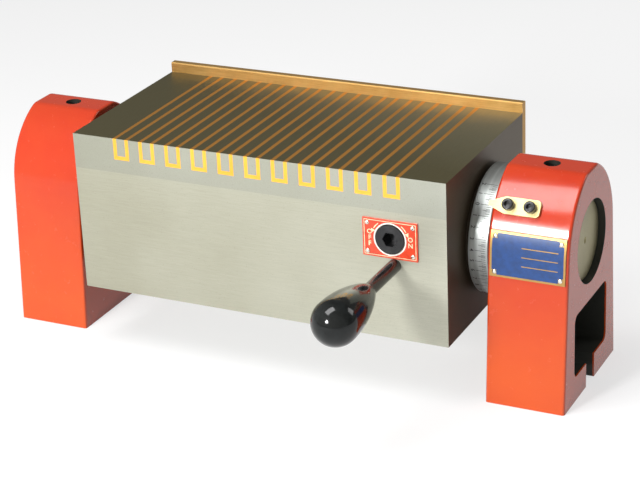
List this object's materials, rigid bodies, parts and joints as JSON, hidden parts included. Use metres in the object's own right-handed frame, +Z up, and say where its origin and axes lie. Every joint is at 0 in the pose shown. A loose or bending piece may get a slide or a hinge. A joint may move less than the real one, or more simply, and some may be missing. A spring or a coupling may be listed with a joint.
{
  "type": "tilting magnetic chuck",
  "caption": "Permanent magnetic chuck hung on trunnions between two cast brackets, tilting by a graduated ring, with switched magnets, brass-lined poles, a grip handle and a back rail.",
  "frame": {"origin": "on the machine table, under the middle of the tilt axis", "axes": "+X along the chuck towards the graduated ring, -Y the front with the switch and the handle, +Z up"},
  "size_m": [0.458, 0.2791, 0.183],
  "materials": {
    "red_paint": "gloss enamel on cast iron",
    "ground_steel": "surface ground steel",
    "turned_steel": "turned and satin finished steel",
    "black_oxide": "blackened steel, oiled",
    "bright_brass": "ground brass",
    "rail_brass": "ground brass, dulled",
    "blue_plate": "blue enamel on brass sheet",
    "red_plate": "red enamel on brass sheet",
    "black_plastic": "moulded phenolic, polished",
    "bronze": "bearing bronze",
    "magnet": "pressed ferrite block"
  },
  "bodies": {
    "brackets": {"bracket_left": "red_paint", "bracket_right": "red_paint", "nameplate": "blue_plate", "nameplate_pins": "bright_brass", "pointer": "bright_brass", "pointer_screws": "black_oxide"},
    "chuck": {"chuck_housing": "ground_steel", "bottom_cover": "ground_steel", "cover_screws": "black_oxide", "pole_plate": "ground_steel", "plate_screws": "black_oxide", "brass_channels": "bright_brass", "pole_bars": "ground_steel", "trunnion_left": "turned_steel", "trunnion_right": "turned_steel", "flange_screws_left": "black_oxide", "flange_screws_right": "black_oxide", "thrust_washer_left": "bronze", "thrust_washer_right": "bronze", "graduated_ring": "turned_steel", "guide_strip_front": "bronze", "guide_screws_front": "black_oxide", "guide_strip_back": "bronze", "guide_screws_back": "black_oxide", "switch_bush": "bronze", "switch_plate": "red_plate", "switch_pins": "bright_brass", "handle_rod": "black_oxide", "handle_knob": "black_plastic", "rail_screws": "black_oxide", "rail_washers": "turned_steel"},
    "switch": {"switch_shaft": "black_oxide", "switch_hub": "black_oxide"},
    "carriage": {"magnet_tray": "bronze", "north_pole_blocks": "ground_steel", "south_pole_blocks": "ground_steel", "magnets": "magnet"},
    "rail": {"back_rail": "rail_brass"},
    "clamp_left": {"clamp_screw_left": "black_oxide"},
    "clamp_right": {"clamp_screw_right": "black_oxide"},
    "pad_left": {"clamp_pad_left": "bright_brass"},
    "pad_right": {"clamp_pad_right": "bright_brass"}
  },
  "joints": [
    {"name": "chuck_tilt", "type": "hinge", "parent": "brackets", "child": "chuck", "pos_m": [0, 0, 0.1125], "axis": [-1, 0, 0], "range_deg": [-15, 90]},
    {"name": "carriage_slide", "type": "slide", "parent": "chuck", "child": "carriage", "axis": [1, 0, 0], "range_m": [0, 0.0109]},
    {"name": "switch_turn", "type": "hinge", "parent": "chuck", "child": "switch", "pos_m": [0.1074, -0.078, 0.1276], "axis": [0, 1, 0], "range_deg": [0, 180]},
    {"name": "rail_slide", "type": "slide", "parent": "chuck", "child": "rail", "axis": [0, 0, 1], "range_m": [-0.008, 0.006]},
    {"name": "clamp_turn_left", "type": "hinge", "parent": "brackets", "child": "clamp_left", "pos_m": [-0.199, 0, 0.158], "axis": [0, 0, 1], "range_deg": [0, 150]},
    {"name": "clamp_turn_right", "type": "hinge", "parent": "brackets", "child": "clamp_right", "pos_m": [0.199, 0, 0.158], "axis": [0, 0, 1], "range_deg": [0, 150]},
    {"name": "pad_lift_left", "type": "slide", "parent": "brackets", "child": "pad_left", "axis": [0, 0, 1], "range_m": [0, 0.00075]},
    {"name": "pad_lift_right", "type": "slide", "parent": "brackets", "child": "pad_right", "axis": [0, 0, 1], "range_m": [0, 0.00075]}
  ],
  "couplings": [
    {"joint": "switch_turn", "follows": "carriage_slide", "rad_per_m": 288}
  ]
}
